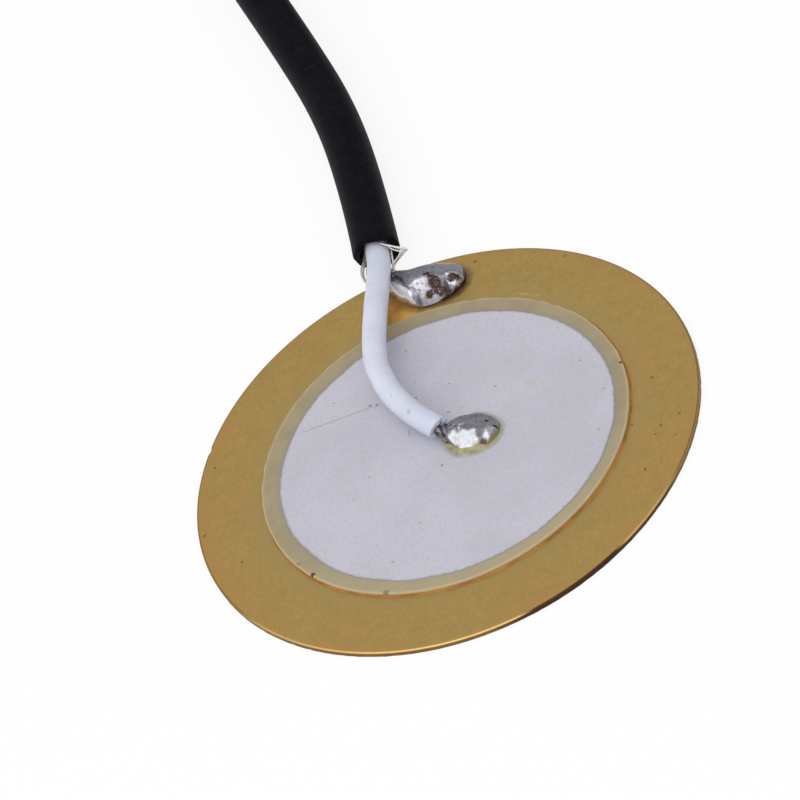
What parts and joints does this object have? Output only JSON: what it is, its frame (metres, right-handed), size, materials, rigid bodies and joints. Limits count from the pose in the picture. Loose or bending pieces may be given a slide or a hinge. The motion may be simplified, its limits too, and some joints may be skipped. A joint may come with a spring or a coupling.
{
  "type": "piezo pickup",
  "caption": "Round brass disc with a silvered piezo ceramic and a shielded lead soldered to it, which turns the vibration of what it is fixed to into an electrical signal.",
  "frame": {"origin": "centre of the brass disc's back face, which is the face that is stuck to what vibrates", "axes": "+Z out of the back face, up through the ceramic; +Y towards the lead, which leaves over the rim and lies on the same surface; +X to the right"},
  "size_m": [0.0421, 0.0823, 0.0027],
  "materials": {
    "brass": "satin rolled sheet, lightly tarnished",
    "glue": "amber hardened glue",
    "silver_film": "matte fired silver",
    "piezo_ceramic": "matte ivory",
    "solder": "bright frozen solder",
    "pale_flux": "clear yellow resin",
    "burnt_flux": "brown burnt resin",
    "tinned_copper": "dull tinned wire",
    "core_plastic": "smooth, waxy white",
    "jacket_plastic": "satin black",
    "tie_plastic": "matte black"
  },
  "bodies": {
    "root": {"brass_plate": "brass", "bond_layer": "glue", "lower_electrode": "silver_film", "ceramic_disc": "piezo_ceramic", "upper_electrode": "silver_film", "centre_solder": "solder", "centre_flux": "pale_flux", "rim_solder": "solder", "rim_flux": "burnt_flux", "conductor_strands": "tinned_copper", "core_insulation": "core_plastic", "shield_braid": "tinned_copper", "shield_pigtail": "tinned_copper", "shield_strands": "tinned_copper", "cable_jacket": "jacket_plastic", "cable_coil": "jacket_plastic", "coil_tie": "tie_plastic", "tail_core": "core_plastic", "tail_conductor": "tinned_copper", "tail_shield": "tinned_copper"}
  },
  "joints": []
}
